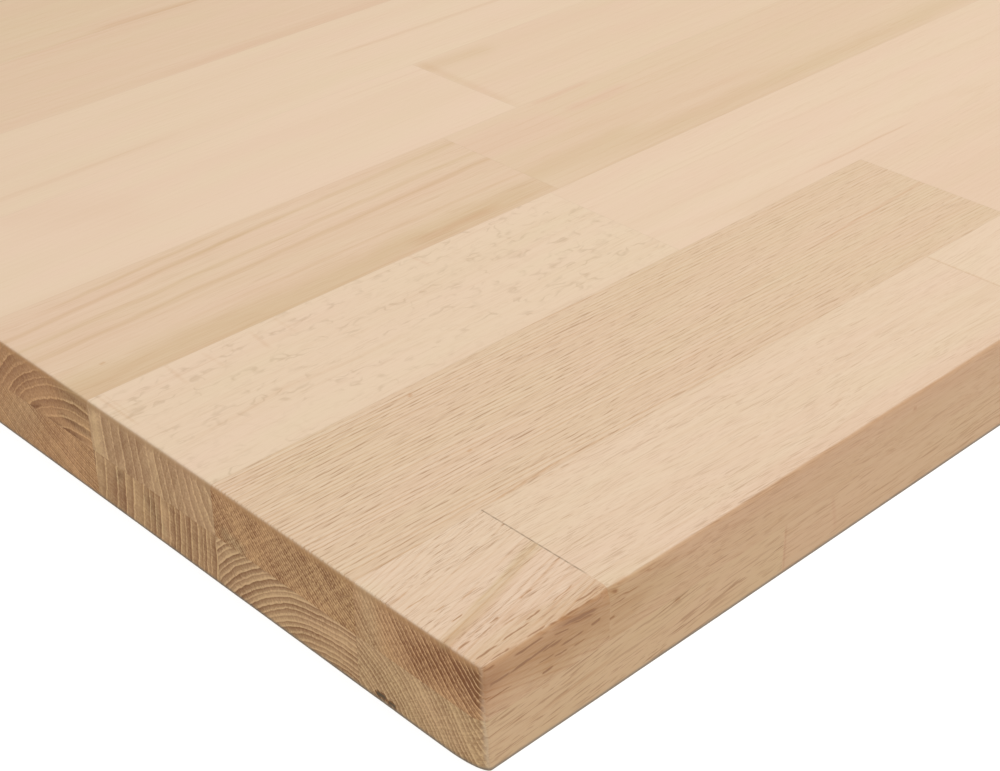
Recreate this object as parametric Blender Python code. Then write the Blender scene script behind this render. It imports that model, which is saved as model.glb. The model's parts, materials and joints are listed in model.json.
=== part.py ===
# Butcher block countertop: straight oak staves, butted end to end in rows and
# glued face to face in two layers. Every stave is its own closed solid.
# Metres, +X along the staves, +Y across the rows, +Z up. The origin lies under
# the middle of the top, on the plane that the underside rests on.
# Row 1 runs along the front edge, at the lowest Y, and stave 1 of each row
# starts at the left end, at the lowest X.

import itertools
import math

import bmesh
import bpy

# Driving dimensions of the finished top
LENGTH = 1.200
WIDTH = 0.600
THICKNESS = 0.040

# Rows: the front row was ripped narrower than the rest when the top was trimmed
FRONT_ROW_WIDTH = 0.0554
ROW_WIDTH = 0.0708
NARROWEST_ROW = 0.010

# The glue line that parts two staves, side to side, end to end and layer to layer
GLUE_LINE = 0.0003

# Eased edges: the four upright corners and the long arrises round both faces
CORNER_RADIUS = 0.005
CORNER_STEPS = 4
ARRIS_RADIUS = 0.002
ARRIS_STEPS = 3

# A leftover shorter than this at the right end is not cut: the stave before
# it runs on to the end instead
SHORTEST_STAVE = 0.050

# Stave lengths in each row from the left end, each with its tone. The last
# stave of a row is cut where the top ends, and a longer top repeats the list.
TOP_ROWS = (
    ((0.0523, "straw"), (0.2337, "cream"), (0.3390, "tan"), (0.3150, "straw"), (0.260, "tan")),
    ((0.3380, "tan"), (0.4400, "straw"), (0.4220, "tan")),
    ((0.2240, "cream"), (0.3450, "straw"), (0.3050, "tan"), (0.3260, "cream")),
    ((0.2290, "straw"), (0.3460, "tan"), (0.3000, "cream"), (0.3250, "brown")),
    ((0.2740, "cream"), (0.4060, "tan"), (0.5200, "straw")),
    ((0.3900, "tan"), (0.4500, "cream"), (0.3600, "tan")),
    ((0.5150, "brown"), (0.3250, "straw"), (0.3600, "tan")),
    ((0.3050, "straw"), (0.4350, "tan"), (0.4600, "cream")),
    ((0.4350, "tan"), (0.3850, "brown"), (0.3800, "straw")),
)
BOTTOM_ROWS = (
    ((0.1350, "straw"), (0.4250, "tan"), (0.3250, "cream"), (0.3150, "tan")),
    ((0.4550, "tan"), (0.3150, "cream"), (0.4300, "straw")),
    ((0.3350, "straw"), (0.4700, "tan"), (0.3950, "brown")),
    ((0.2850, "straw"), (0.4350, "tan"), (0.4800, "cream")),
    ((0.4950, "tan"), (0.3850, "brown"), (0.3200, "straw")),
    ((0.3150, "cream"), (0.4050, "straw"), (0.4800, "tan")),
    ((0.4100, "tan"), (0.4600, "straw"), (0.3300, "cream")),
    ((0.4750, "brown"), (0.3350, "tan"), (0.3900, "straw")),
    ((0.3550, "straw"), (0.4450, "cream"), (0.4000, "tan")),
)

# Oak as it shows, in linear colour, with the roughness of a sanded, bare board
TONES = {
    "cream": (0.76, 0.58, 0.42),
    "straw": (0.69, 0.51, 0.35),
    "tan": (0.58, 0.40, 0.26),
    "brown": (0.47, 0.31, 0.19),
}
WOOD_ROUGHNESS = 0.62

HALF_LENGTH = LENGTH / 2
HALF_WIDTH = WIDTH / 2
ROUND_TOLERANCE = 0.05      # of the radius: a chord's middle lies inside its arc
PLANE_TOLERANCE = 1e-6


def clear_scene():
    for item in list(bpy.data.objects):
        bpy.data.objects.remove(item)


def oak(tone):
    """The material of one tone, made the first time it is asked for."""
    name = "oak_" + tone
    material = bpy.data.materials.get(name)
    if material is None:
        material = bpy.data.materials.new(name)
        material.use_nodes = True
        shader = material.node_tree.nodes["Principled BSDF"]
        shader.inputs["Base Color"].default_value = (*TONES[tone], 1.0)
        shader.inputs["Roughness"].default_value = WOOD_ROUGHNESS
        shader.inputs["Metallic"].default_value = 0.0
        material.diffuse_color = (*TONES[tone], 1.0)
    return material


def row_edges():
    """Y of every row boundary, from the front edge to the back edge."""
    edges = [-HALF_WIDTH, -HALF_WIDTH + FRONT_ROW_WIDTH]
    while edges[-1] + ROW_WIDTH < HALF_WIDTH - NARROWEST_ROW:
        edges.append(edges[-1] + ROW_WIDTH)
    if HALF_WIDTH - edges[-1] > NARROWEST_ROW:
        edges.append(HALF_WIDTH)
    edges[-1] = HALF_WIDTH
    return edges


def stave_spans(staves):
    """(start X, end X, tone) of each stave in a row, left end to right end."""
    spans = []
    start = -HALF_LENGTH
    for length, tone in itertools.cycle(staves):
        end = start + length
        if HALF_LENGTH - end < SHORTEST_STAVE:
            spans.append((start, HALF_LENGTH, tone))
            return spans
        spans.append((start, end, tone))
        start = end


def inset(low, high, limit):
    """Ends drawn back by half a glue line, but not where the top itself ends."""
    low_gap = 0.0 if low <= -limit + PLANE_TOLERANCE else GLUE_LINE / 2
    high_gap = 0.0 if high >= limit - PLANE_TOLERANCE else GLUE_LINE / 2
    return low + low_gap, high - high_gap


def at_limit(value, limit):
    return abs(abs(value) - limit) < PLANE_TOLERANCE


def on_outline(x, y):
    """True where a point of the plan lies on the top's outer edge."""
    corner_x = abs(x) - (HALF_LENGTH - CORNER_RADIUS)
    corner_y = abs(y) - (HALF_WIDTH - CORNER_RADIUS)
    if corner_x > 0 and corner_y > 0:
        from_arc = abs(math.hypot(corner_x, corner_y) - CORNER_RADIUS)
        return from_arc < CORNER_RADIUS * ROUND_TOLERANCE
    return at_limit(x, HALF_LENGTH) or at_limit(y, HALF_WIDTH)


def upright_corners(mesh):
    """The stave's upright edges that are corners of the whole top."""
    found = []
    for edge in mesh.edges:
        a, b = (vert.co for vert in edge.verts)
        upright = abs(a.z - b.z) > PLANE_TOLERANCE
        if upright and at_limit(a.x, HALF_LENGTH) and at_limit(a.y, HALF_WIDTH):
            found.append(edge)
    return found


def outer_arrises(mesh, face_z):
    """Edges of the top or underside that run round the outside of the top."""
    found = []
    for edge in mesh.edges:
        a, b = (vert.co for vert in edge.verts)
        level = max(abs(a.z - face_z), abs(b.z - face_z)) < PLANE_TOLERANCE
        middle = (a + b) / 2
        points = (a, b, middle)
        if level and all(on_outline(point.x, point.y) for point in points):
            found.append(edge)
    return found


def make_stave(name, span_x, span_y, span_z, face_z, tone):
    """One stave: a board with the top's eased edges where it meets them."""
    low_x, high_x = inset(*span_x, HALF_LENGTH)
    low_y, high_y = inset(*span_y, HALF_WIDTH)
    low_z, high_z = span_z
    mesh = bmesh.new()
    bmesh.ops.create_cube(mesh, size=2.0)
    for vert in mesh.verts:
        vert.co.x = high_x if vert.co.x > 0 else low_x
        vert.co.y = high_y if vert.co.y > 0 else low_y
        vert.co.z = high_z if vert.co.z > 0 else low_z
    corners = upright_corners(mesh)
    if corners:
        bmesh.ops.bevel(mesh, geom=corners, offset=CORNER_RADIUS, segments=CORNER_STEPS,
                        profile=0.5, affect="EDGES")
    arrises = outer_arrises(mesh, face_z)
    if arrises:
        bmesh.ops.bevel(mesh, geom=arrises, offset=ARRIS_RADIUS, segments=ARRIS_STEPS,
                        profile=0.5, affect="EDGES")
    data = bpy.data.meshes.new(name)
    mesh.to_mesh(data)
    mesh.free()
    data.materials.append(oak(tone))
    stave = bpy.data.objects.new(name, data)
    bpy.context.scene.collection.objects.link(stave)
    return stave


def make_layer(layer, rows, span_z, face_z):
    """Every row of one layer, each laid as a line of staves."""
    edges = row_edges()
    row_spans = zip(edges[:-1], edges[1:])
    for row, (span_y, staves) in enumerate(zip(row_spans, itertools.cycle(rows)), start=1):
        for number, (start, end, tone) in enumerate(stave_spans(staves), start=1):
            name = f"{layer}_row{row}_stave{number}"
            make_stave(name, (start, end), span_y, span_z, face_z, tone)


def main():
    clear_scene()
    middle = THICKNESS / 2
    make_layer("bottom", BOTTOM_ROWS, (0.0, middle - GLUE_LINE / 2), 0.0)
    make_layer("top", TOP_ROWS, (middle + GLUE_LINE / 2, THICKNESS), THICKNESS)


main()
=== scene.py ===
import json
import math

import bpy
import numpy as np
from mathutils import Matrix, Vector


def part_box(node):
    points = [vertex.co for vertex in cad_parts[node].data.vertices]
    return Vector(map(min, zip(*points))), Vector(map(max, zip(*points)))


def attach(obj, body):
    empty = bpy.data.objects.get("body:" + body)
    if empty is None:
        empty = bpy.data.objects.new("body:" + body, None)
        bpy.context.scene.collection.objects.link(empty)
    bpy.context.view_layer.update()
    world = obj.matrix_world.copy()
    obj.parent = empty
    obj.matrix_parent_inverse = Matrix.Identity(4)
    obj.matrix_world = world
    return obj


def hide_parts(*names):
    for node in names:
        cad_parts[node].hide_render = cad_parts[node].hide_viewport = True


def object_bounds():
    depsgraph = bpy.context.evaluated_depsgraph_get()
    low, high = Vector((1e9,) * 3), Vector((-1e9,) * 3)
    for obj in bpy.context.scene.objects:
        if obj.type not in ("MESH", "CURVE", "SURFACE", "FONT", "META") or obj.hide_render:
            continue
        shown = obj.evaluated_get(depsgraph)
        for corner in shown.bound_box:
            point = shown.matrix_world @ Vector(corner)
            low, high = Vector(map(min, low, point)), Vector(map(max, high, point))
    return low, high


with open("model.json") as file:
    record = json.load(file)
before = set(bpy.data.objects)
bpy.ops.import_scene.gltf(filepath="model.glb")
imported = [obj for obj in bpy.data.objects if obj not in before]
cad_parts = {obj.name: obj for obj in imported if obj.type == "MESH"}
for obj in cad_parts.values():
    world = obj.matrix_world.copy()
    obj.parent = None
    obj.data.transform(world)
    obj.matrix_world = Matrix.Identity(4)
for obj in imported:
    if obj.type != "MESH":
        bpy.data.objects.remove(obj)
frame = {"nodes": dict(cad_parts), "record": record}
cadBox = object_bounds()

# Butcher block countertop: what each oak stave looks like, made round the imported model.
# Places in the wood are in millimetres from the front left corner of the underside: u runs
# along the staves, v across the rows towards the back, h up. Meshes are in metres.

mm = 0.001
firstCorner = np.array(cadBox[0])
boardSize = (np.array(cadBox[1]) - firstCorner) / mm        # u, v, h
topFace = float(boardSize[2])


# Camera: it stands off the front left corner and looks down over it

camera = {
    "place": (-0.87497, -0.60296, 0.38970),     # metres
    "azimuth": 46.827,                          # degrees from +X towards +Y
    "downward": 32.074,                         # degrees below level
    "roll": -0.996,                             # degrees that the picture is tilted by
    "lens": 68.947,                             # mm, on a sensor 36 mm wide
}


def makeCamera(look):
    azimuth, downward, roll = (math.radians(look[key]) for key in ("azimuth", "downward", "roll"))
    ahead = np.array((math.cos(downward) * math.cos(azimuth),
                      math.cos(downward) * math.sin(azimuth),
                      -math.sin(downward)))
    level = np.cross(ahead, (0, 0, 1))
    level /= np.linalg.norm(level)
    upright = np.cross(level, ahead)
    right = level * math.cos(roll) + upright * math.sin(roll)
    up = upright * math.cos(roll) - level * math.sin(roll)
    turn = np.eye(4)
    turn[:3] = np.stack((right, up, -ahead, look["place"]), axis=1)
    lens = bpy.data.cameras.new("camera")
    lens.sensor_width = 36
    lens.lens = look["lens"]
    lens.clip_start = 0.01
    item = bpy.data.objects.new("camera", lens)
    item.matrix_world = Matrix(turn.tolist())
    bpy.context.scene.collection.objects.link(item)
    bpy.context.scene.camera = item


makeCamera(camera)
print("camera made")


# Studio: a pale floor, a pale sky all round and one wide soft lamp above

studio = {
    "floorColor": (0.30, 0.30, 0.30),
    "floorRoughness": 0.9,
    "floorSheen": 0.2,
    "floorRadius": 4.0,                 # metres
    "floorPoints": 64,                  # round its rim
    "floorDrop": 0.0001,                # metres that the floor lies under the board
    "floorGlow": 0.84,                  # its own light, which keeps the board's shadow off it
    "skyColor": (1.0, 1.0, 1.0),
    "skyStrength": 0.545,
    "lampPlace": (0.1, -0.4, 2.4),      # metres
    "lampAim": (0.0, 0.0, 0.0),
    "lampWidth": 2.2,                   # metres
    "lampWatts": 54.5,
}


def floorMaterial(look):
    material = bpy.data.materials.new("paleFloor")
    material.use_nodes = True
    shader = material.node_tree.nodes["Principled BSDF"]
    shader.inputs["Base Color"].default_value = (*look["floorColor"], 1)
    shader.inputs["Roughness"].default_value = look["floorRoughness"]
    shader.inputs["Specular IOR Level"].default_value = look["floorSheen"]
    shader.inputs["Emission Color"].default_value = (1, 1, 1, 1)
    shader.inputs["Emission Strength"].default_value = look["floorGlow"]
    return material


def makeMesh(name, points, faces):
    data = bpy.data.meshes.new(name)
    data.from_pydata(points.tolist(), [], faces.tolist())
    item = bpy.data.objects.new(name, data)
    bpy.context.scene.collection.objects.link(item)
    return item


def makeStudio(look):
    # the floor is one fan: points at even angles on a circle
    count = look["floorPoints"]
    angles = np.linspace(0, 2 * math.pi, count, endpoint=False)
    rim = np.stack((np.cos(angles), np.sin(angles), 0 * angles), axis=1) * look["floorRadius"]
    rim[:, 2] = -look["floorDrop"]
    floor = makeMesh("floor", rim, np.arange(count).reshape(1, count))
    floor.data.materials.append(floorMaterial(look))
    world = bpy.data.worlds.new("paleSky")
    world.use_nodes = True
    sky = world.node_tree.nodes["Background"]
    sky.inputs["Color"].default_value = (*look["skyColor"], 1)
    sky.inputs["Strength"].default_value = look["skyStrength"]
    bpy.context.scene.world = world
    lamp = bpy.data.lights.new("lamp", "AREA")
    lamp.shape = "DISK"
    lamp.size = look["lampWidth"]
    lamp.energy = look["lampWatts"]
    item = bpy.data.objects.new("lamp", lamp)
    place = np.array(look["lampPlace"])
    away = place - np.array(look["lampAim"])
    away /= np.linalg.norm(away)
    side = np.cross((0, 1, 0), away)
    side /= np.linalg.norm(side)
    turn = np.eye(4)
    turn[:3] = np.stack((side, np.cross(away, side), away, place), axis=1)
    item.matrix_world = Matrix(turn.tolist())
    bpy.context.scene.collection.objects.link(item)
    bpy.context.scene.view_settings.view_transform = "Standard"


makeStudio(studio)
print("studio made")


# Board: the shape that all the staves share, rounded where the board itself ends

board = {
    "inset": (0.4, 1.2),        # mm that the eased arrises take off the underside and the top
    "drop": (0.4, 2.6),         # mm that they take off the edges there
    "arrisWaver": 0.2,          # how far both come and go by hand, as a share
    "waverLengths": (9.0, 23.0, 61.0),      # mm, over 2 pi, of the waves that they come and go in
    "corner": 5.0,              # mm, radius of the upright corners
    "nearHead": (2.0, 2.5),     # mm along u and v that the near corner takes off at the top
    "nearFoot": (3.5, 15.0),    # the same at the foot, where it is worn off
    "arcSteps": 4,              # grid lines to half an arc
    "pastArc": 0.5,             # mm past an arc, where one more line keeps the flat face flat
    "grid": 12.0,               # mm between grid lines on plain stretches
    "fineGrid": 1.2,            # mm between them at the near corner
    "fineReach": 60.0,          # mm from the near corner that is so
    "longStave": 200.0,         # mm, past which such a stave has half as many lines along it
    "sharpAngle": 28.0,         # degrees, edges sharper than this aren't shaded smooth
    "glue": 0.3,                # mm, the gap that the model leaves for a glue line
}
# Dents: place, how far they reach along u, v and h, and the push inwards, all in mm
dents = (
    {"place": (52.0, 0.0, 39.0), "reach": (3.2, 2.2, 2.2), "push": (0.0, 0.9, -0.9)},
    {"place": (0.0, 40.4, 1.6), "reach": (1.5, 1.2, 1.0), "push": (0.3, 0.0, 0.0)},
    {"place": (0.0, 44.7, 2.0), "reach": (1.5, 1.6, 1.2), "push": (0.4, 0.0, 0.0)},
)


def arcLines(radius):
    # Distances in from the edge, r(1 - tan a) for even angles a to 45 degrees, and one line more
    angles = np.linspace(0, math.pi / 4, board["arcSteps"] + 1)
    return np.append(radius * (1 - np.tan(angles)), radius + board["pastArc"])


def gridLines(low, high, whole, spacing, radii):
    # Even lines from end to end, with closer ones wherever the board itself ends
    steps = max(1, round((high - low) / spacing))
    lines = [np.linspace(low, high, steps + 1)]
    lines += [arcLines(radius) for radius in radii if low <= 0]
    lines += [whole - arcLines(radius) for radius in radii if high >= whole]
    lines = np.unique(np.round(np.concatenate(lines), 3))
    return lines[(lines >= low) & (lines <= high)]


def blockShell(us, vs, hs):
    # The six sides of a block of grid lines: its points, and quads that face outwards
    count = (len(us), len(vs), len(hs))
    index = np.arange(math.prod(count)).reshape(count)
    sides = (index[0].T, index[-1], index[:, 0], index[:, -1].T, index[:, :, 0].T, index[:, :, -1])
    quads = [np.stack((s[:-1, :-1], s[1:, :-1], s[1:, 1:], s[:-1, 1:]), axis=-1).reshape(-1, 4)
             for s in sides]
    used, quads = np.unique(np.concatenate(quads), return_inverse=True)
    i, j, k = np.unravel_index(used, count)
    return np.stack((us[i], vs[j], hs[k]), axis=1), quads.reshape(-1, 4)


def easeEdges(points):
    # Upright corners: share is how far a point lies from an ellipse's centre lines, over the
    # ellipse's reach. Where both shares are above 0, the point keeps the larger one and slides
    # onto the ellipse of that size.
    middle = boardSize[:2] / 2
    plan = points[:, :2] - middle
    side = np.where(plan < 0, -1.0, 1.0)
    foot = (1 - points[:, 2:] / boardSize[2]) ** 2
    head, worn = np.array(board["nearHead"]), np.array(board["nearFoot"])
    near = (side < 0).all(axis=1)[:, None]
    reach = np.where(near, head + (worn - head) * foot, board["corner"])
    fromEdges = middle - np.abs(plan)
    share = 1 - fromEdges / reach
    inCorner = (share > 0).all(axis=1)[:, None]
    size = share.max(axis=1)[:, None]
    unit = share / np.maximum(np.linalg.norm(share, axis=1), 1e-9)[:, None]
    plan = np.where(inCorner, side * (middle - reach + reach * unit * size), plan)
    steep = unit / reach
    steepness = np.linalg.norm(steep, axis=1)[:, None]
    nearest = fromEdges == fromEdges.min(axis=1)[:, None]
    nearest[:, 1] &= ~nearest[:, 0]
    outward = side * np.where(inCorner, steep / steepness, nearest)
    fromEdge = np.where(inCorner, (1 - size) / steepness, fromEdges.min(axis=1)[:, None])[:, 0]
    # Arrises: the same again in the upright plane through the point
    top = points[:, 2] > boardSize[2] / 2
    fromFace = np.where(top, boardSize[2] - points[:, 2], points[:, 2])
    along = points[:, 0] + 1.7 * points[:, 1] + 900.0 * top     # so that no two edges are alike
    waves = [np.sin(along / length + start) for start, length in enumerate(board["waverLengths"])]
    swell = 1 + board["arrisWaver"] * np.mean(waves, axis=0)
    inset, drop = (np.where(top, board[key][1], board[key][0]) * swell for key in ("inset", "drop"))
    inEdge, inFace = 1 - fromEdge / inset, 1 - fromFace / drop
    rounded = (inEdge > 0) & (inFace > 0)
    shrink = np.maximum(inEdge, inFace) / np.maximum(np.hypot(inEdge, inFace), 1e-9)
    newEdge = np.where(rounded, inset * (1 - inEdge * shrink), fromEdge)
    newFace = np.where(rounded, drop * (1 - inFace * shrink), fromFace)
    plan = plan - outward * (newEdge - fromEdge)[:, None]
    height = np.where(top, boardSize[2] - newFace, newFace)
    return np.column_stack((plan + middle, height))


def addDents(points):
    # Each dent pushes points by a bell curve of their distance from its place
    moved = points.copy()
    for dent in dents:
        away = (points - dent["place"]) / dent["reach"]
        weight = np.exp(-(away ** 2).sum(axis=1))
        moved += weight[:, None] * np.array(dent["push"])
    return moved


def staveBox(node):
    # The node's box in mm, grown by half a glue line where a neighbour lies beyond it
    low, high = (np.array(corner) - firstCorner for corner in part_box(node))
    low, high, glue = low / mm, high / mm, board["glue"]
    low = np.where(low < glue, 0.0, low - glue / 2)
    high = np.where(high > boardSize - glue, boardSize, high + glue / 2)
    return np.round(low, 3), np.round(high, 3)


def staveShape(name, low, high):
    near = low[0] < board["fineReach"] and low[1] < board["fineReach"]
    spacing = np.array([board["grid"]] * 3)
    if near:
        spacing[:] = board["fineGrid"]
        spacing[0] *= 1 if high[0] < board["longStave"] else 2
    layer = int(low[2] > 0)
    upright = low[1] <= 0 or high[1] >= boardSize[1]
    radii = (board["inset"][layer],) + (board["corner"],) * upright
    lines = [gridLines(low[axis], high[axis], boardSize[axis], spacing[axis],
                       radii if axis < 2 else (board["drop"][layer],)) for axis in range(3)]
    points, quads = blockShell(*lines)
    points = addDents(easeEdges(points))
    item = makeMesh(name, points * mm + firstCorner, quads)
    item.data.shade_smooth()
    item.data.set_sharp_from_angle(angle=math.radians(board["sharpAngle"]))
    # facing: the square of each face corner's normal, which tells end grain from long grain
    normals = np.empty(len(item.data.loops) * 3, np.float32)
    item.data.corner_normals.foreach_get("vector", normals)
    facing = item.data.attributes.new("facing", "FLOAT_VECTOR", "CORNER")
    facing.data.foreach_set("vector", normals ** 2)
    return item


# Node helpers: each adds a node or two and gives the last one's output back

def feed(tree, node, values):
    for socket, value in zip(node.inputs, values):
        if isinstance(value, bpy.types.NodeSocket):
            tree.links.new(value, socket)
        elif value is not None:
            socket.default_value = value


def calc(tree, operation, *values, clamp=False):
    node = tree.nodes.new("ShaderNodeMath")
    node.operation = operation
    node.use_clamp = clamp
    feed(tree, node, values)
    return node.outputs[0]


def times(tree, first, second, clamp=False):
    return calc(tree, "MULTIPLY", first, second, clamp=clamp)


def vector(tree, operation, *values, out="Vector"):
    node = tree.nodes.new("ShaderNodeVectorMath")
    node.operation = operation
    feed(tree, node, values)
    return node.outputs[out]


def split(tree, value):
    node = tree.nodes.new("ShaderNodeSeparateXYZ")
    feed(tree, node, (value,))
    return node.outputs


def join(tree, x, y, z):
    node = tree.nodes.new("ShaderNodeCombineXYZ")
    feed(tree, node, (x, y, z))
    return node.outputs[0]


def lumps(tree, place, size, detail=0.0, roughness=0.5, color=False):
    # Noise between 0 and 1, about 0.5, whose lumps are as long as size along u, v and h
    node = tree.nodes.new("ShaderNodeTexNoise")
    stretched = vector(tree, "DIVIDE", place, size)
    tree.links.new(stretched, node.inputs["Vector"])
    node.inputs["Scale"].default_value = 1.0
    node.inputs["Detail"].default_value = detail
    node.inputs["Roughness"].default_value = roughness
    return node.outputs["Color" if color else "Fac"]


def waver(tree, place, size, detail=0.0, roughness=0.5, color=False):
    # The same noise, but about 0
    noise = lumps(tree, place, size, detail, roughness, color)
    return vector(tree, "SUBTRACT", noise, (0.5,) * 3) if color else calc(tree, "SUBTRACT", noise, 0.5)


def smooth(tree, value, start, end, low=0.0, high=1.0):
    # A smooth step from low to high as value goes from start to end
    node = tree.nodes.new("ShaderNodeMapRange")
    node.interpolation_type = "SMOOTHSTEP"
    feed(tree, node, (value, start, end, low, high))
    return node.outputs["Result"]


def blendColor(tree, share, first, second, kind="MIX"):
    node = tree.nodes.new("ShaderNodeMix")
    node.data_type = "RGBA"
    node.blend_type = kind
    for socket, value in zip((node.inputs["Factor"], node.inputs[6], node.inputs[7]),
                             (share, first, second)):
        if isinstance(value, bpy.types.NodeSocket):
            tree.links.new(value, socket)
        else:
            socket.default_value = value
    return node.outputs[2]


def woodPlace(tree):
    # Object coordinates turned into u, v and h in millimetres
    coordinates = tree.nodes.new("ShaderNodeTexCoord")
    node = tree.nodes.new("ShaderNodeVectorMath")
    node.operation = "MULTIPLY_ADD"
    feed(tree, node, (coordinates.outputs["Object"], (1 / mm,) * 3, tuple(-firstCorner / mm)))
    return node.outputs[0]


def startGroup(name, inputs, outputs):
    tree = bpy.data.node_groups.new(name, "ShaderNodeTree")
    for key, value in inputs.items():
        kind = "NodeSocketFloat" if isinstance(value, float) else "NodeSocketVector"
        socket = tree.interface.new_socket(key, in_out="INPUT", socket_type=kind)
        socket.default_value = value
    for key, kind in outputs.items():
        tree.interface.new_socket(key, in_out="OUTPUT", socket_type=kind)
    return tree, tree.nodes.new("NodeGroupInput").outputs, tree.nodes.new("NodeGroupOutput").inputs


# Marks: a streak, band or speck at a place of its own in one stave

markLook = {
    "place": (0.0, 0.0, 0.0),
    "sway": (0.0, 0.0, 0.0),        # noise that a mark drifts by
    "drift": (0.0, 0.0, 0.0),       # mm, how far along u, v and h
    "start": (0.0, 0.0, 0.0),       # mm
    "end": (1.0, 0.0, 0.0),         # mm
    "width": 1.0,                   # mm each side of the line from start to end
    "tone": 0.3,                    # darker, or paler below 0
    "blush": 0.0,                   # redder, or greener below 0
    "toneBefore": 0.0,              # what the marks before it add up to
    "blushBefore": 0.0,
}


def makeMarkGroup():
    # 1 on the line from start to end, 0 a width away from it, fading at both ends
    tree, given, result = startGroup("woodMark", markLook,
                                     {"tone": "NodeSocketFloat", "blush": "NodeSocketFloat"})
    place = vector(tree, "MULTIPLY_ADD", given["sway"], given["drift"], given["place"])
    way = vector(tree, "SUBTRACT", given["end"], given["start"])
    offset = vector(tree, "SUBTRACT", place, given["start"])
    lengthSquared = vector(tree, "DOT_PRODUCT", way, way, out="Value")
    share = calc(tree, "DIVIDE", vector(tree, "DOT_PRODUCT", offset, way, out="Value"), lengthSquared)
    nearest = vector(tree, "MULTIPLY", way, join(tree, share, share, share))
    distance = vector(tree, "LENGTH", vector(tree, "SUBTRACT", offset, nearest), out="Value")
    line = smooth(tree, distance, 0.0, given["width"], 1.0, 0.0)
    line = times(tree, line, smooth(tree, share, 0.0, 0.25))
    line = times(tree, line, smooth(tree, share, 0.75, 1.0, 1.0, 0.0))
    for key in ("tone", "blush"):
        total = calc(tree, "MULTIPLY_ADD", line, given[key], given[key + "Before"])
        tree.links.new(total, result[key])
    return tree


# Oak: growth rings round a pith, pores and fibres along the grain, rays, and end grain

palette = {
    "pale": (0.632, 0.503, 0.374, 1),
    "dark": (0.464, 0.280, 0.148, 1),
    "rose": (1.000, 0.935, 0.905, 1),       # multiplied in where the wood blushes
    "moss": (0.975, 0.965, 0.880, 1),       # multiplied in where it doesn't
    "pore": (0.300, 0.165, 0.085, 1),
    "fleck": (0.800, 0.775, 0.735, 1),      # multiplied in on ray flecks
    "edge": (0.895, 0.752, 0.600, 1),       # painted shade, multiplied in on the long edges so that they read darker and warmer than the top
    "endPale": (0.620, 0.415, 0.225, 1),
    "endDark": (0.195, 0.080, 0.022, 1),
    "rust": (1.000, 0.905, 0.770, 1),       # multiplied in where end grain is redder
    "seam": (0.190, 0.130, 0.075, 1),
    "soil": (0.100, 0.062, 0.025, 1),       # the darkest marks
    "foot": (0.160, 0.135, 0.100, 1),       # painted shadow: the thin dark line along the foot, where the board sits on the floor
}
# What a stave has unless its own list says otherwise
oakLook = {
    "seed": 0.0,
    "tone": 0.25,                   # 0 is the palest board, 1 the darkest
    "blush": 0.0,
    "pith": (0.0, 250.0, -60.0),    # mm, where the pith crosses the left end
    "pithRun": (1.0, 0.0, 0.0),     # the way it runs from there
    "ringShape": (1.0, 1.0, 1.0),   # below 1 draws the rings out along that axis
    "ringWidth": 3.0,               # mm, at the reach
    "ringReach": 60.0,              # mm from the pith
    "ringPower": 1.0,               # below 1 the rings grow wider outwards, above 1 narrower
    "ringUneven": 0.7,              # how much the rings differ in width
    "ringWarp": 2.0,                # mm that they sway by
    "earlyWidth": 0.9,              # mm, the band of large pores that opens each ring
    "ringShow": 0.10,               # rings on long faces
    "ringOnEnd": 0.55,              # rings on end grain
    "rayOnEnd": 0.15,               # rays on end grain
    "rayWidth": 1.2,                # mm from ray to ray there
    "gritOnEnd": 0.8,
    "endTone": 0.0,
    "rustOnEnd": 0.0,
    "fibreRun": (1.0, 0.0, 0.0),    # the way the fibres and pores run
    "fibreSway": 2.5,               # mm
    "poreShow": 0.45,
    "poreLength": 16.0,             # mm
    "poreWidth": 0.9,               # mm
    "poresInRings": 0.3,            # 1 keeps the pores to the early wood
    "poresInPatches": 0.5,
    "fineWidth": 0.6,               # mm
    "fineShow": 0.12,
    "streakShow": 0.12,
    "bandShow": 0.10,
    "fleckShow": 0.0,
    "fadeAlong": 0.0,               # how far pores and fibres have faded 330 mm along
    "boxLow": (0.0, 0.0, 0.0),      # mm, where the stave's own sides lie
    "boxHigh": (1.0, 1.0, 1.0),
    "seamLow": (0.0, 0.0, 0.0),     # how dark the glue line is at each of them
    "seamHigh": (0.0, 0.0, 0.0),
    "markTone": 0.0,
    "markBlush": 0.0,
}


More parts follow.
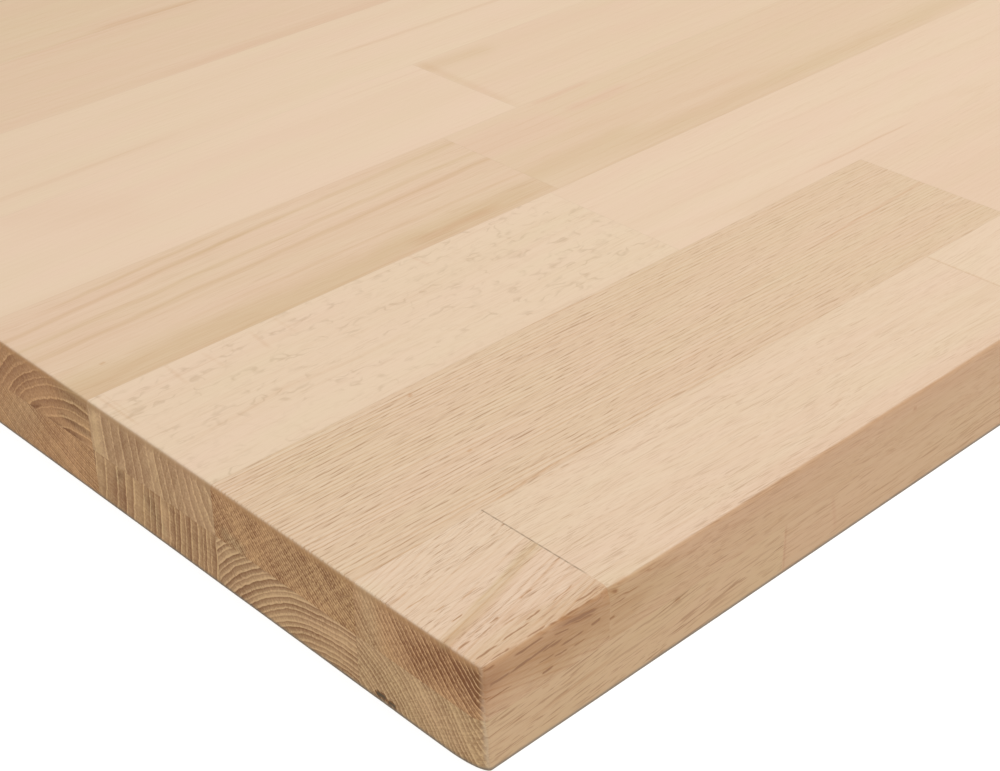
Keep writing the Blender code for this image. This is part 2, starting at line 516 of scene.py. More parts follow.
# Sizes of the noise in every stave, in mm along u, v and h, and how far marks drift
grain = {
    "wander": (34.0, 11.0, 11.0),       # fibres
    "ringSway": (160.0, 17.0, 17.0),
    "ringRipple": (35.0, 3.2, 3.2),
    "rippleBy": (0.30, 0.75),           # of a ring's width, and mm at the most
    "unevenRings": (2.3, 1.0, 1.0),     # in rings and not in mm
    "porePatch": (45.0, 6.0, 6.0),
    "poreSets": ((1.0, 11.0, 1.0), (0.55, 37.0, 0.8)),      # size, shift and weight of each
    "fineLength": 30.0,
    "streak": (110.0, 2.6, 2.6),
    "band": (300.0, 17.0, 17.0),
    "cloud": (60.0, 15.0, 15.0),        # of the blush
    "grit": (1.0, 1.0, 1.0),            # on end grain
    "rayReach": 110.0,                  # from the pith, where rays are a ray's width apart
    "rayLength": 14.0,
    "fleckSway": (7.0, 5.5, 5.5),
    "fleckSwayBy": (7.0, 6.0, 6.0),
    "fleckHill": (9.0, 4.2, 9.0),
    "fleckPart": (7.0, 4.5, 4.0),
    "fleckRow": (70.0, 6.0, 20.0),
    "seamBreak": (2.5, 2.5, 2.5),
    "seamWidth": (0.1, 0.42),           # from the side, where a glue line starts to fade and ends
    "seamClosed": (8.0, 13.0),          # from the front edge, where end joints open up
    "drifts": ((26.0, 26.0, 26.0), (4.5, 1.3, 1.3)),        # of wide marks and of narrow ones
    "narrowMark": 0.85,                 # a mark less wide than this frays
    "driftBy": (1.0, 0.5),              # how far a mark drifts, and more for each mm of its width
}
finish = {
    "sheen": 0.35,
    "roughness": 0.56,
    "endRougher": 0.18,             # end grain is that much rougher
    "poreRougher": 0.2,
    "fineRougher": 0.25,
    "bump": 0.8,
    "poreDepth": 0.06,              # mm that the bump sinks pores and glue lines by
    "fineDepth": 0.02,              # mm
    "gritDepth": 0.08,              # mm, on end grain
    "deepMark": (0.45, 1.0),        # tones between which a mark gets as dark as a pore
    "soilMark": (1.7, 2.3),         # tones between which it turns to soil
    "highlightUnderTop": (3.2, 1.0),          # mm under the top, between which the end grain gets a painted highlight, paler and with less contrast
    "seamLess": 0.75,               # how much less glue lines show on the long edges
    "footShadowLine": (0.5, 1.9),         # mm up, where the painted shadow line at the foot starts to fade and ends
    "footShadowShow": 0.85,
}


def ringNodes(tree, given, place, fibre):
    # Rings are circles round the pith line. The count of rings at a radius r is
    # (reach / width / power) (r / reach) to the power. early is 1 in the band of large pores
    # that opens a ring, late is 1 where the ring ends, and own is a number for the whole ring.
    u = split(tree, place)[0]
    run = vector(tree, "MULTIPLY", given["pithRun"], join(tree, u, u, u))
    fromPith = vector(tree, "SUBTRACT", vector(tree, "SUBTRACT", place, given["pith"]), run)
    fromPith = vector(tree, "MULTIPLY", fromPith, given["ringShape"])
    radius = vector(tree, "LENGTH", fromPith, out="Value")
    sway = waver(tree, fibre, grain["ringSway"], 1.0)
    ripple = waver(tree, fibre, grain["ringRipple"])
    swayed = calc(tree, "MULTIPLY_ADD", sway, given["ringWarp"], radius)
    share, most = grain["rippleBy"]
    rippled = calc(tree, "MINIMUM", times(tree, given["ringWidth"], share), most)
    swayed = calc(tree, "MULTIPLY_ADD", ripple, rippled, swayed)
    far = calc(tree, "DIVIDE", swayed, given["ringReach"])
    count = calc(tree, "POWER", far, given["ringPower"])
    atReach = calc(tree, "DIVIDE", given["ringReach"], given["ringWidth"])
    count = times(tree, count, atReach)
    count = calc(tree, "DIVIDE", count, given["ringPower"])
    localWidth = calc(tree, "POWER", far, calc(tree, "SUBTRACT", 1.0, given["ringPower"]))
    localWidth = times(tree, localWidth, given["ringWidth"])
    uneven = waver(tree, join(tree, count, given["seed"], 0.0), grain["unevenRings"])
    count = calc(tree, "MULTIPLY_ADD", uneven, times(tree, given["ringUneven"], 2.0), count)
    age = calc(tree, "FRACT", count)
    opening = calc(tree, "MINIMUM", calc(tree, "DIVIDE", given["earlyWidth"], localWidth), 0.5)
    early = smooth(tree, age, times(tree, opening, 0.3), opening, 1.0, 0.0)
    early = calc(tree, "MAXIMUM", early, smooth(tree, age, 0.94, 1.0))
    late = times(tree, smooth(tree, age, 0.45, 0.9), smooth(tree, age, 0.93, 0.99, 1.0, 0.0))
    own = tree.nodes.new("ShaderNodeTexWhiteNoise")
    own.noise_dimensions = "1D"
    ringNumber = calc(tree, "ADD", count, times(tree, given["seed"], 7.0))
    tree.links.new(calc(tree, "FLOOR", ringNumber), own.inputs["W"])
    return fromPith, radius, early, late, own.outputs["Value"]


def poreNodes(tree, given, fibre, early):
    # Pores are thin dashes along the fibres: drawn-out noise where it runs high. Two sets
    # differ in size, and both come and go in patches.
    total = None
    for scale, shift, weight in grain["poreSets"]:
        width = times(tree, given["poreWidth"], scale)
        cell = join(tree, times(tree, given["poreLength"], scale), width, width)
        spot = vector(tree, "ADD", vector(tree, "DIVIDE", fibre, cell), (shift,) * 3)
        line = smooth(tree, lumps(tree, spot, (1.0, 1.0, 1.0), 1.0), 0.57, 0.68, 0.0, weight)
        total = line if total is None else calc(tree, "MAXIMUM", total, line)
    patch = smooth(tree, lumps(tree, fibre, grain["porePatch"]), 0.35, 0.60)
    patch = calc(tree, "MULTIPLY_ADD", calc(tree, "SUBTRACT", patch, 1.0), given["poresInPatches"], 1.0)
    kept = calc(tree, "MULTIPLY_ADD", calc(tree, "SUBTRACT", early, 1.0), given["poresInRings"], 1.0)
    return times(tree, times(tree, total, patch), kept)


def fleckNodes(tree, given, place):
    # Ray flecks on quarter-sawn wood: thin crumpled strokes, where noise passes its middle,
    # broken up and strung out in rows and patches
    sway = waver(tree, place, grain["fleckSway"], 1.0, color=True)
    swayed = vector(tree, "MULTIPLY_ADD", sway, grain["fleckSwayBy"], place)
    hills = waver(tree, swayed, grain["fleckHill"], 1.0)
    stroke = smooth(tree, calc(tree, "ABSOLUTE", hills), 0.0, 0.080, 1.0, 0.0)
    part = smooth(tree, lumps(tree, place, grain["fleckPart"]), 0.36, 0.64)
    row = smooth(tree, lumps(tree, place, grain["fleckRow"]), 0.40, 0.58, 0.25, 1.0)
    return times(tree, times(tree, stroke, row), part)


def rayNodes(tree, given, fromPith, radius):
    # Rays are lines of equal angle round the pith, broken up along their length
    side = split(tree, fromPith)
    angle = calc(tree, "ARCTAN2", side[2], side[1])
    around = times(tree, angle, grain["rayReach"])
    around = calc(tree, "DIVIDE", around, given["rayWidth"])
    spot = join(tree, around, calc(tree, "DIVIDE", radius, grain["rayLength"]), given["seed"])
    return smooth(tree, lumps(tree, spot, (1.0, 1.0, 1.0), 1.0), 0.40, 0.66)


def seamNodes(tree, given, place):
    # A thin line along each glued side of the stave; end joints close up at the front edge
    total = None
    broken = smooth(tree, lumps(tree, place, grain["seamBreak"]), 0.30, 0.60, 0.55, 1.0)
    opened = smooth(tree, split(tree, place)[1], *grain["seamClosed"])
    joined = times(tree, opened, broken)
    joined = join(tree, joined, 1.0, 1.0)
    for side, strength in ((("SUBTRACT", place, given["boxLow"]), given["seamLow"]),
                           (("SUBTRACT", given["boxHigh"], place), given["seamHigh"])):
        strength = vector(tree, "MULTIPLY", strength, joined)
        gap = split(tree, vector(tree, *side))
        shown = split(tree, strength)
        for axis in range(3):
            line = smooth(tree, gap[axis], *grain["seamWidth"], 1.0, 0.0)
            line = times(tree, line, shown[axis])
            total = line if total is None else calc(tree, "MAXIMUM", total, line)
    return total


def makeOakGroup(name, withFlecks):
    tree, given, result = startGroup(name, oakLook, {
        "Color": "NodeSocketColor", "Roughness": "NodeSocketFloat", "Height": "NodeSocketFloat"})
    place = woodPlace(tree)
    u, _, h = split(tree, place)
    run = vector(tree, "SUBTRACT", given["fibreRun"], (1.0, 0.0, 0.0))
    lean = vector(tree, "MULTIPLY", run, join(tree, u, u, u))
    shift = times(tree, given["seed"], 91.7)
    fibre = vector(tree, "ADD", vector(tree, "SUBTRACT", place, lean), join(tree, shift, shift, shift))
    wander = waver(tree, fibre, grain["wander"], color=True)
    far = join(tree, 0.0, given["fibreSway"], given["fibreSway"])
    fibre = vector(tree, "MULTIPLY_ADD", wander, far, fibre)
    fromPith, radius, early, late, own = ringNodes(tree, given, place, fibre)
    fineSize = join(tree, grain["fineLength"], given["fineWidth"], given["fineWidth"])
    fine = waver(tree, fibre, fineSize, 1.0)
    streak = waver(tree, fibre, grain["streak"], 2.0)
    band = waver(tree, fibre, grain["band"], 1.0)
    pore = poreNodes(tree, given, fibre, early)
    faded = times(tree, smooth(tree, u, 30.0, 330.0, 0.0, -1.0), given["fadeAlong"])
    faded = calc(tree, "ADD", faded, 1.0)
    pore = times(tree, pore, faded)

    # the blush drifts from place to place, on long grain and end grain alike
    cloud = calc(tree, "MULTIPLY_ADD", lumps(tree, fibre, grain["cloud"], 1.0), 1.2, -0.1)
    blush = calc(tree, "ADD", given["blush"], given["markBlush"])
    blush = calc(tree, "ADD", cloud, blush, clamp=True)
    tint = blendColor(tree, blush, palette["moss"], palette["rose"])

    # long grain: the tone, darker in the early wood and in streaks, then pores
    strength = calc(tree, "MULTIPLY_ADD", own, 1.4, 0.2)
    ring = times(tree, calc(tree, "SUBTRACT", early, 0.35), strength)
    ring = times(tree, ring, faded)
    tone = calc(tree, "ADD", given["tone"], given["markTone"])
    tone = calc(tree, "MULTIPLY_ADD", ring, given["ringShow"], tone)
    for part, share in ((fine, "fineShow"), (streak, "streakShow"), (band, "bandShow")):
        tone = calc(tree, "MULTIPLY_ADD", part, times(tree, given[share], 2.0), tone)
    long = blendColor(tree, calc(tree, "MINIMUM", tone, 1.3), palette["pale"], palette["dark"])
    long = blendColor(tree, 1.0, long, tint, "MULTIPLY")
    if withFlecks:
        fleck = times(tree, fleckNodes(tree, given, place), given["fleckShow"])
        long = blendColor(tree, fleck, long, palette["fleck"], "MULTIPLY")
    poreShare = times(tree, pore, given["poreShow"], clamp=True)
    dark = smooth(tree, given["markTone"], *finish["deepMark"], 0.0, 0.85)
    long = blendColor(tree, calc(tree, "MAXIMUM", poreShare, dark), long, palette["pore"])
    facing = tree.nodes.new("ShaderNodeAttribute")
    facing.attribute_name = "facing"
    square = split(tree, facing.outputs["Vector"])
    # painted shade: the long edges are coloured darker and warmer than the top, as if the lamp above
    # lit them less
    edge = smooth(tree, square[1], 0.1, 0.9)
    long = blendColor(tree, edge, long, palette["edge"], "MULTIPLY")

    # end grain: brown wood, darker where a ring ends, a thin pale line where the next one
    # opens, pale rays across the rings, and grit
    grit = waver(tree, place, grain["grit"], 1.0, 0.7)
    lines = calc(tree, "SUBTRACT", early, times(tree, late, 0.55))
    lines = times(tree, lines, calc(tree, "MULTIPLY_ADD", grit, 2.0, 1.0))
    lines = calc(tree, "MULTIPLY_ADD", calc(tree, "SUBTRACT", own, 0.5), 0.8, lines)
    pale = calc(tree, "MULTIPLY_ADD", calc(tree, "SUBTRACT", lines, 0.12), given["ringOnEnd"], 0.5)
    ray = calc(tree, "SUBTRACT", rayNodes(tree, given, fromPith, radius), 0.4)
    pale = calc(tree, "MULTIPLY_ADD", ray, given["rayOnEnd"], pale)
    pale = calc(tree, "MULTIPLY_ADD", grit, given["gritOnEnd"], pale)
    pale = calc(tree, "MULTIPLY_ADD", band, 0.5, pale)
    pale = calc(tree, "SUBTRACT", pale, given["endTone"])
    marked = times(tree, given["markTone"], calc(tree, "SUBTRACT", early, 1.4))
    pale = calc(tree, "ADD", pale, marked)
    # painted highlight: close under the top, where the eased arris turns up towards the lamp, the end
    # grain is made paler and calmer; and the dark end is seldom reached
    arrisHighlight = smooth(tree, h, *(topFace - depth for depth in finish["highlightUnderTop"]), 0.84, 0.20)
    pale = calc(tree, "MULTIPLY_ADD", calc(tree, "SUBTRACT", pale, 0.46), arrisHighlight, 0.55, clamp=True)
    end = blendColor(tree, pale, palette["endDark"], palette["endPale"])
    rust = calc(tree, "ADD", given["rustOnEnd"], given["markBlush"], clamp=True)
    end = blendColor(tree, 1.0, end, tint, "MULTIPLY")
    end = blendColor(tree, rust, end, palette["rust"], "MULTIPLY")
    endShare = smooth(tree, square[0], 0.25, 0.95)
    color = blendColor(tree, endShare, long, end)
    soiled = smooth(tree, given["markTone"], *finish["soilMark"])
    color = blendColor(tree, soiled, color, palette["soil"])

    # glue lines, which show less on the long edges, and a painted shadow: the thin dark line along the
    # foot
    seam = calc(tree, "MULTIPLY_ADD", edge, -finish["seamLess"], 1.0)
    seam = times(tree, seamNodes(tree, given, place), seam)
    color = blendColor(tree, seam, color, palette["seam"])
    # painted shadow along the foot of the outer faces, kept off the underside
    foot = smooth(tree, h, *finish["footShadowLine"], finish["footShadowShow"], 0.0)
    foot = times(tree, foot, calc(tree, "SUBTRACT", 1.0, square[2]))
    color = blendColor(tree, foot, color, palette["foot"])
    tree.links.new(color, result["Color"])

    # roughness: pores and end grain are duller. Height, in mm: pores and glue lines are sunk
    rough = calc(tree, "MULTIPLY_ADD", endShare, finish["endRougher"], finish["roughness"])
    rough = calc(tree, "MULTIPLY_ADD", pore, finish["poreRougher"], rough)
    rough = calc(tree, "MULTIPLY_ADD", fine, finish["fineRougher"], rough, clamp=True)
    tree.links.new(rough, result["Roughness"])
    height = times(tree, calc(tree, "ADD", poreShare, seam), -finish["poreDepth"])
    height = calc(tree, "MULTIPLY_ADD", fine, finish["fineDepth"], height)
    gritHeight = times(tree, grit, finish["gritDepth"])
    height = calc(tree, "MULTIPLY_ADD", gritHeight, endShare, height)
    tree.links.new(height, result["Height"])
    return tree


markGroup = makeMarkGroup()
oakGroup = makeOakGroup("oakWood", False)
fleckedOakGroup = makeOakGroup("fleckedOakWood", True)
print("oak pattern made")


def addGroup(tree, group, values):
    node = tree.nodes.new("ShaderNodeGroup")
    node.node_tree = group
    for key, value in values.items():
        if isinstance(value, bpy.types.NodeSocket):
            tree.links.new(value, node.inputs[key])
        else:
            node.inputs[key].default_value = value
    return node


def oakMaterial(name, look, marks):
    material = bpy.data.materials.new(name)
    material.use_nodes = True
    tree = material.node_tree
    # the marks come first, each after the one before, so that few values wait at a time
    total = {}
    if marks:
        place = woodPlace(tree)
        wide, narrow = (waver(tree, place, size, 1.0, color=True) for size in grain["drifts"])
        for mark in marks:
            before = {key + "Before": value for key, value in total.items()}
            sway = narrow if mark["width"] < grain["narrowMark"] else wide
            shown = addGroup(tree, markGroup, {"place": place, "sway": sway, **mark, **before})
            total = {key: shown.outputs[key] for key in ("tone", "blush")}
        look = {**look, "markTone": total["tone"], "markBlush": total["blush"]}
    wood = addGroup(tree, fleckedOakGroup if look["fleckShow"] > 0 else oakGroup, look)
    shader = tree.nodes["Principled BSDF"]
    shader.inputs["Specular IOR Level"].default_value = finish["sheen"]
    bump = tree.nodes.new("ShaderNodeBump")
    bump.inputs["Strength"].default_value = finish["bump"]
    bump.inputs["Distance"].default_value = mm
    tree.links.new(wood.outputs["Height"], bump.inputs["Height"])
    tree.links.new(bump.outputs["Normal"], shader.inputs["Normal"])
    tree.links.new(wood.outputs["Color"], shader.inputs["Base Color"])
    tree.links.new(wood.outputs["Roughness"], shader.inputs["Roughness"])
    return material


# Staves in view, each with what sets it apart and its marks by face. A mark's row gives where it
# starts and ends, its width and tone, and its blush if it has any. Places are (u, v) on the top,
# (u, depth) on the front edge and (v, depth) on the end, with the depth down from the top.

def markPlace(face, a, b):
    if face == "top":
        return a, b, topFace
    return (a, 0.0, topFace - b) if face == "front" else (0.0, a, topFace - b)


def readMarks(own):
    marks = []
    for face in ("top", "front", "end"):
        for a, b, c, d, width, tone, *blush in own.get(face, ()):
            drift = grain["driftBy"][0] + grain["driftBy"][1] * width
            marks.append({
                "start": markPlace(face, a, b), "end": markPlace(face, c, d), "width": width,
                "tone": tone, "blush": blush[0] if blush else 0.0,
                "drift": (0.0, 0.0, drift) if face == "front" else (0.0, drift, 0.0)})
    return marks


# Staves far from the camera: the photo hardly shows their grain
farLook = {"poreShow": 0.02, "fineShow": 0.02, "streakShow": 0.03, "ringShow": 0.04}
# The bottom layer's end joint in view on the front edge: a mark on both staves that meet there
frontJoint = (135.7, 17, 135.9, 42, 0.9, 0.3, 0.2)
looks = {}

# the short stave at the near corner
looks["top_row1_stave1"] = {
    "look": {"tone": 0.12, "blush": 0.3, "pith": (0.0, -133.0, 159.0), "pithRun": (1.0, 0.26, 0.02),
             "ringWidth": 1.9, "ringUneven": 0.35, "ringShow": 0.2, "ringOnEnd": 0.42,
             "ringWarp": 1.2, "earlyWidth": 0.7, "rayOnEnd": 0.12, "rayWidth": 0.7,
             "rustOnEnd": 0.75, "gritOnEnd": 1.2, "fineShow": 0.24, "fineWidth": 0.5,
             "fibreRun": (1.0, 0.05, 0.02), "poreShow": 0.7, "poreLength": 11.0,
             "poreWidth": 0.44, "poresInRings": 0.4, "poresInPatches": 0.6},
    "top": (
        (-30, 6.5, 84, 39.5, 4.2, 0.36, -0.9),
        (12, 20.8, 52, 31.6, 1.5, 0.14, -0.6),
        (-10, 12.5, 28, 19, 5.5, 0.14),
        (-16, 9, 74, 24, 11, 0.08, 0.5),
        (-30, 0, 90, 1, 9, 0.08, 0.4),
        (4, 7.5, 76, 27, 1.1, 0.26, 0.3),
        (10, 5, 78, 20, 1, 0.24, 0.3),
        (20, 3, 74, 14, 0.9, 0.22, 0.3),
        (24, 12.5, 48, 9.5, 4, -0.12, 0.8),
        (1, 4.2, 12, 4.8, 0.45, 0.94),
        (12, 5, 25.5, 5.6, 0.45, 1.06),
        (23.5, 6.8, 31.5, 7.3, 0.45, 0.94),
        (16.5, 9.4, 27.5, 10, 0.45, 0.59),
        (34.5, 7, 47, 9.4, 0.45, 0.71),
        (39.5, 2.4, 52, 3, 0.45, 0.89),
        (4.5, 1.1, 13, 1.2, 0.5, 0.89),
        (18.5, 1.2, 27, 1.2, 0.5, 0.89),
        (1, 11.2, 7.5, 11.5, 0.5, 0.71, 0.3),
        (15.3, 13.1, 20.2, 13.4, 0.5, 0.77, 0.5),
        (29, 15.3, 36.5, 16.2, 0.5, 0.59),
        (8.2, 21.2, 13.8, 21.9, 0.5, 0.89),
        (17, 26.9, 25.6, 28.1, 0.5, 0.59),
        (7.5, 28.3, 12.8, 28.4, 0.5, 0.71),
        (2, 35, 13, 35.5, 0.5, 0.65),
        (-0.5, 40, 10, 40.8, 0.5, 0.47),
        (26, 0.3, 43, 0, 0.8, 1, 0.2),
    ),
    "front": (
        (-40, 7, 78, 5.5, 15, 0.53, -0.7),
        (14, 14, 74, 14.5, 9, 0.18, -0.4),
        (26, 1, 48, 5.6, 2.4, 0.12, 0.3),
        (0, 1.2, 6, 1.4, 0.5, 0.53),
        (12, 2.6, 25.5, 2.2, 0.7, 0.71),
        (3, 7.7, 11.5, 7.5, 0.7, 0.71),
        (9.5, 8, 31, 6.2, 0.65, 0.77),
        (1, 12.7, 13, 12.5, 0.5, 0.53),
        (23.5, 15.8, 29, 15.4, 0.8, 0.83),
        (31.5, 2.6, 48, 4.6, 0.7, 0.59, -0.3),
        (36, 4.2, 46, 5.6, 0.4, 0.35, -0.3),
        (28.5, 4.1, 35.5, 5.4, 0.5, 0.53),
        (23.5, 7.7, 33, 7.5, 0.45, 0.47),
        (31, 9.9, 42, 9.6, 0.45, 0.5),
        (22, 11.1, 29.5, 10.9, 0.45, 0.5),
        (28.5, 12.3, 35, 12.4, 0.45, 0.47),
        (44, 9.2, 48.6, 9, 0.7, 0.71),
        (36.5, 13, 42.5, 13.2, 0.5, 0.42),
        (48, 0.4, 58, 3.6, 1.1, 0.5),
    ),
    "end": (
        (-18, 7, 37, 12, 14, 0.2, 0.3),
        (8, 8, 52, 10, 14, 0.08),
        (1, 9.5, 12, 3.5, 3.4, 0.3, 0.3),
        (50, -10, 50, 30, 10, -0.03, -0.6),
    ),
}
# the next one along the front edge, with a chip where the two meet
looks["top_row1_stave2"] = {
    "look": {"tone": 0.11, "blush": 0.2, "fibreRun": (1.0, -0.03, -0.03), "poreShow": 0.45,
             "ringShow": 0.05, "poreLength": 13.0, "poreWidth": 0.62, "fineShow": 0.21,
             "poresInPatches": 0.4, "fadeAlong": 0.6},
    "top": (
        (30, 1, 420, 2, 10, 0.07, 0.6),
        (46, 0.6, 62, 0.4, 1.6, 0.4, 0.2),
    ),
    "front": (
        (20, 8, 92, 8.5, 14, 0.12, -0.7),
        (28, 9, 76, 11.5, 8.5, 0.21, -0.3),
        (49.5, 0.8, 56.5, 3.6, 1.5, 0.85),
        (50.8, 11.7, 55, 11.8, 0.6, 0.55),
        (53, 5, 66.5, 6.2, 0.5, 0.55),
        (51.5, 7, 60, 7.1, 0.5, 0.55),
        (58.5, 2, 71.5, 2.2, 0.45, 0.5),
        (66, 2.5, 78, 2.8, 0.45, 0.5),
        (72, 4.3, 83.5, 4.4, 0.45, 0.5),
        (52, 14.2, 66, 14.6, 1.6, 0.26, -0.2),
        (50, 18, 68, 21, 3, 0.18, -0.5),
        (202, 6, 204.5, 6.2, 1.2, 0.5),
    ),
}
looks["top_row1_stave3"] = {
    "look": {"tone": -0.01, "blush": 0.2, "fibreRun": (1.0, 0.03, 0.0), "poreShow": 0.25},
    "top": ((286.2, 10, 286.4, 66, 1.2, 0.34),),
}
# a brown stave with long open pores
looks["top_row2_stave1"] = {
    "look": {"tone": 0.3, "blush": 0.0, "fibreRun": (1.0, 0.035, 0.0), "poreShow": 0.72,
             "poreLength": 12.0, "poreWidth": 0.62, "poresInPatches": 0.2, "poresInRings": 0.6,
             "fineShow": 0.16, "streakShow": 0.1, "bandShow": 0.05, "fadeAlong": 0.5,
             "pith": (0.0, -60.0, 180.0), "ringWidth": 1.3, "ringUneven": 0.3, "ringWarp": 1.5,
             "ringShow": 0.3, "ringOnEnd": 0.38, "earlyWidth": 0.6, "rayOnEnd": 0.26,
             "rayWidth": 0.6, "gritOnEnd": 1.4, "endTone": 0.11, "rustOnEnd": 0.9},
    "top": (
        (6, 55.6, 32, 55.9, 0.6, 0.4),
        (54, 56, 92, 57.4, 0.7, 0.45),
        (79.5, 120.5, 82, 122, 1.2, 0.5, 0.3),
        (71, 82, 73.5, 82.2, 0.9, 0.4, 0.1),
        (255, 91.5, 355, 96, 1.2, 0.22, 0.3),
    ),
    "end": (
        (45, 10, 102, 10, 14, 0.06, -0.2),
        (108, 19, 124, 16, 5, 0.05, -0.8),
    ),
}
looks["top_row2_stave2"] = {
    "look": {**farLook, "tone": 0.12, "poreShow": 0.06, "fineShow": 0.04, "streakShow": 0.05},
}
# a quarter-sawn stave with ray flecks
looks["top_row3_stave1"] = {
    "look": {"tone": 0.03, "blush": 0.1, "fleckShow": 0.68, "poreShow": 0.12, "fineShow": 0.1,
             "pith": (0.0, 118.0, 100.0), "ringShape": (1.0, 1.0, 0.27), "ringWidth": 3.0,
             "ringReach": 25.0, "ringPower": 0.4, "ringOnEnd": 0.31, "ringUneven": 0.5,
             "ringWarp": 1.0, "ringShow": 0.04},
    "top": (
        (4.3, 168, 4.3, 204, 1.1, 0.2),
        (6.4, 176, 6.4, 204, 0.9, 0.12),
        (31, 180, 33.5, 202, 1.5, 0.16),
        (47.5, 178, 47, 198, 1.5, 0.1),
        (66, 178, 68.5, 196, 1.6, 0.16),
        (80, 180, 80.5, 201, 1.4, 0.1),
        (148, 184, 147, 200, 1.6, 0.16, 0.2),
        (5, 151, 64, 156, 2, 0.12),
        (46, 155, 115, 152, 2, 0.12),
    ),
    "end": (
        (194, -10, 194, 32, 4.5, -0.2, -0.4),
    ),
}
looks["top_row3_stave2"] = {
    "look": {"tone": 0.06, "blush": 0.3, "poreShow": 0.05, "fineShow": 0.04, "streakShow": 0.04,
             "ringShow": 0.05},
    "top": (
        (310, 134.3, 392, 133.3, 1, 0.3),
        (225, 134, 340, 135, 0.8, 0.12),
        (210, 177.5, 380, 178.5, 1, 0.12),
    ),
}
# a stave with wide darker bands
looks["top_row4_stave1"] = {
    "look": {"tone": 0.22, "blush": 0.3, "pith": (0.0, 200.0, -23.0), "ringWidth": 3.6,
             "ringOnEnd": 0.29, "endTone": 0.12, "rustOnEnd": 1.0, "poreShow": 0.12, "ringShow": 0.03,
             "poreLength": 24.0},
    "top": (
        (-70, 229, 300, 241, 2.8, 0.26, -0.4),
        (-70, 239, 300, 249.5, 2.4, 0.2, -0.4),
        (-70, 247, 150, 260, 2.6, 0.26, -0.4),
        (55, 256, 280, 262.5, 2.2, 0.18, -0.4),
        (15, 259.5, 115, 265.5, 2, 0.24, -0.4),
        (30, 217.5, 290, 219, 1.6, 0.17, -0.2),
        (-90, 203.5, 290, 204.5, 17, 0.27, -0.8),
        (-50, 198, 215, 198.2, 2, 0.13),
        (150, 204, 205, 203, 4.5, 0.15, 0.5),
        (16.5, 213.8, 19.5, 214.2, 1.2, 0.35),
    ),
    "end": (
        (193, 14.8, 219, 13.8, 2.6, 0.28, -0.5),
        (198, 19.4, 229, 20.4, 2, 0.28, -0.3),
        (241, 23, 228, 16, 1.4, 0.28),
        (226, 4, 268, 24, 9, 0.03, 1.2),
    ),
}
looks["top_row4_stave2"] = {
    "look": {**farLook, "tone": 0.22, "blush": 0.0, "poreShow": 0.04, "streakShow": 0.06},
    "top": (
        (215, 251, 285, 247, 14, 0.03, 1.5),
        (195, 214, 310, 218, 9, 0.14, -0.4),
        (225, 206, 580, 205, 12, 0.15, -0.3),
        (245, 234, 420, 214, 7, 0.07),
        (283, 250, 332, 250, 6, 0.1, 0.8),
        (278, 265.5, 322, 266, 3, 0.15, 0.5),
        (200, 197.8, 520, 198, 1.3, 0.14),
    ),
}
# from here on the wood is too far off to show more than its tone and a few bands
looks["top_row5_stave1"] = {
    "look": {**farLook, "tone": 0.03},
    "top": (
        (45, 345, 105, 300, 24, 0.07, 0.2),
        (215, 332, 290, 331, 1.4, 0.12),
    ),
}
looks["top_row5_stave2"] = {
    "look": {**farLook, "tone": 0.14},
    "top": (
        (262, 332, 322, 327, 10, 0.14, -0.2),
        (275, 262, 278, 348, 5, 0.14),
    ),
}
looks["top_row6_stave1"] = {
    "look": {**farLook, "tone": 0.06, "streakShow": 0.04},
    "top": (
        (235, 374, 400, 370, 2.4, 0.22),
        (40, 352, 160, 354.5, 3, 0.12),
        (120, 394, 260, 392, 3, 0.06),
    ),
}
looks["top_row7_stave1"] = {
    "look": {**farLook, "tone": 0.22, "blush": 0.2, "fineShow": 0.03, "streakShow": 0.07},
    "top": (
        (160, 412.5, 370, 412, 8, 0.09, 0.2),
        (120, 478, 280, 478.5, 1.8, 0.14),
    ),
}
looks["top_row8_stave1"] = {
    "look": {**farLook, "tone": 0.26, "fineShow": 0.03, "streakShow": 0.07},
    "top": (
        (185, 484, 265, 482, 4.5, 0.2),
        (120, 481.5, 280, 481, 1.8, 0.14),
    ),
}
# the bottom layer, from under the near corner, where two nicks mark the foot of the end face
looks["bottom_row1_stave1"] = {
    "look": {"tone": -0.07, "blush": -0.3, "pith": (0.0, 82.0, -33.0), "ringWidth": 2.0,
             "ringOnEnd": 0.4, "rayOnEnd": 0.18, "rayWidth": 0.8, "endTone": -0.06,
             "gritOnEnd": 1.1, "fibreRun": (1.0, 0.0, 0.06), "poreShow": 0.65, "fineShow": 0.24},
    "front": (
        frontJoint,
        (-14, 33.5, 56, 26.5, 1, 0.24),
        (6, 32.6, 60, 27, 1, 0.2),
        (-12, 27.5, 52, 23, 1, 0.2),
        (24, 29.2, 70, 26.3, 0.9, 0.2),
        (81.5, 21.2, 84.5, 21.6, 1.1, 0.5),
        (95.5, 24.5, 99.5, 25.6, 1, 0.3),
        (23.5, 21, 27.5, 21.3, 1, 0.45),
        (84.5, 31.3, 88.5, 31.8, 1, 0.3),
    ),
    "end": (
        (42.4, 37.3, 48.2, 37.5, 1.9, 3.2, -0.5),
        (38, 37.8, 42.6, 37.9, 1.5, 3, -0.5),
    ),
}
looks["bottom_row1_stave2"] = {
    "look": {"tone": 0.06, "blush": 0.1, "fibreRun": (1.0, 0.0, 0.03), "poreShow": 0.35},
    "front": (frontJoint, (159.5, 19, 163.5, 37, 1.6, 0.16, 0.3)),
}
looks["bottom_row2_stave1"] = {
    "look": {"tone": 0.2, "pith": (0.0, 60.0, -50.0), "ringWidth": 2.1, "ringUneven": 0.4,
             "ringOnEnd": 0.52, "endTone": -0.03, "rustOnEnd": 0.1},
}
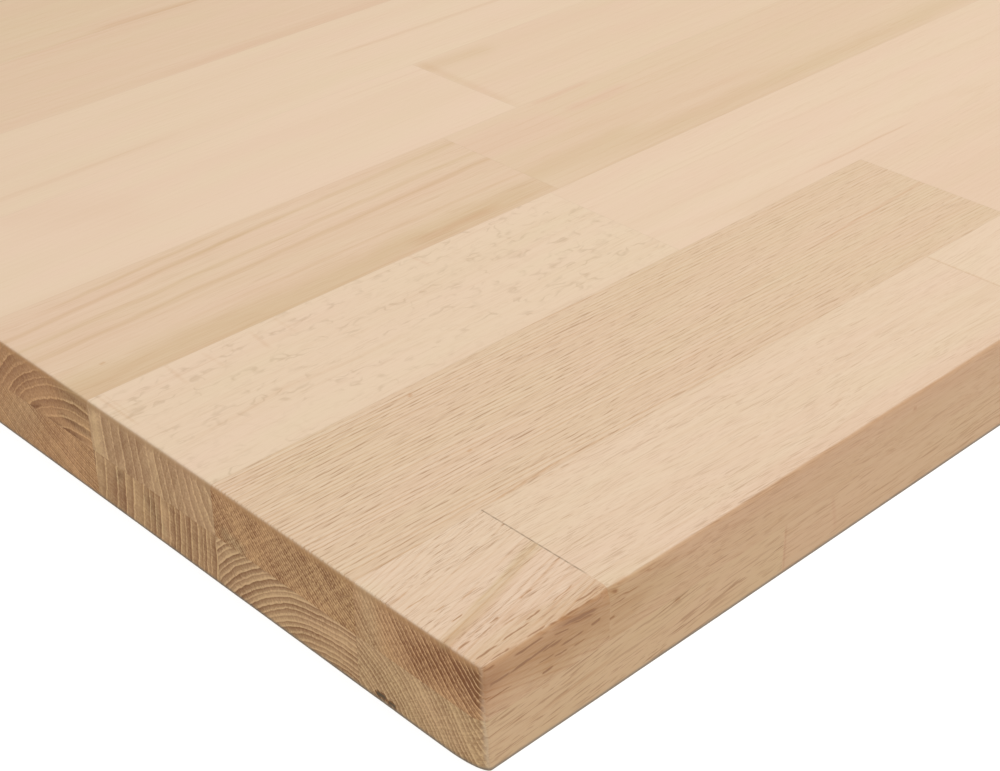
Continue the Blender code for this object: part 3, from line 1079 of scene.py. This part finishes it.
looks["bottom_row3_stave1"] = {
    "look": {"tone": 0.2, "pith": (0.0, 300.0, 28.0), "ringWidth": 3.9, "ringReach": 140.0,
             "ringPower": 3.0, "ringOnEnd": 0.45, "ringUneven": 0.5, "ringWarp": 1.0,
             "rustOnEnd": 0.3},
    "end": (
        (180, 20, 185, 28, 2.8, 0.22, -0.8),
        (166, 22, 156, 38, 5, 0.12, -0.6),
    ),
}
looks["bottom_row4_stave1"] = {
    "look": {"tone": 0.2, "pith": (0.0, 160.0, 140.0), "ringWidth": 1.2, "ringOnEnd": 0.32,
             "endTone": 0.08, "rustOnEnd": 1.0},
    "end": ((230, 16, 260, 40, 14, 0.06, -0.4),),
}

slotTones = {"oak_cream": 0.05, "oak_straw": 0.18, "oak_tan": 0.30, "oak_brown": 0.45}
seamShow = {"end": 0.08, "side": 0.06, "layer": 0.05}
# The one joint that stands out, between these two staves
cornerSeam = {"staves": ("top_row1_stave1", "top_row1_stave2"), "show": 0.62}


def hiddenLook(chance, tone):
    # A stave that the photo doesn't show: all by chance, with a pith 40 to 160 mm from its middle
    angle = chance.uniform(0, 2 * math.pi)
    far = chance.uniform(40, 160)
    return {
        "tone": tone + chance.uniform(-0.05, 0.05),
        "blush": chance.uniform(-0.2, 0.4),
        "pith": (0.0, 35.0 + far * math.cos(angle), 20.0 + far * math.sin(angle)),
        "pithRun": (1.0, chance.uniform(-0.05, 0.05), chance.uniform(-0.05, 0.05)),
        "ringWidth": chance.uniform(1.6, 4.0),
        "fibreRun": (1.0, chance.uniform(-0.03, 0.03), 0.0),
        "poreShow": chance.uniform(0.15, 0.5),
    }


def makeStaves():
    slots = {row["node"]: row["material_slot"] for row in frame["record"]["subparts"]}
    for number, node in enumerate(sorted(frame["nodes"])):
        low, high = staveBox(node)
        chance = np.random.default_rng(1000 + number)
        look = {**oakLook, "seed": float(number), **hiddenLook(chance, slotTones[slots[node]])}
        pith = np.array(look["pith"]) + (0.0, low[1], 0.0)
        look["pith"] = tuple(pith.tolist())
        own = looks.get(node, {})
        look.update(own.get("look", {}))
        inside = np.array((low > 0, high < boardSize), float)
        shown = np.array((seamShow["end"], seamShow["side"], seamShow["layer"]))
        openLow, openHigh = ((node == name) * cornerSeam["show"] for name in cornerSeam["staves"])
        look.update(boxLow=tuple(low.tolist()), boxHigh=tuple(high.tolist()),
                    seamLow=tuple((inside[0] * shown + (openHigh, 0, 0)).tolist()),
                    seamHigh=tuple((inside[1] * shown + (openLow, 0, 0)).tolist()))
        item = staveShape("oak_" + node, low, high)
        item.data.materials.append(oakMaterial("oak_" + node, look, readMarks(own)))
        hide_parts(node)
        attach(item, "root")


makeStaves()
print("staves made")
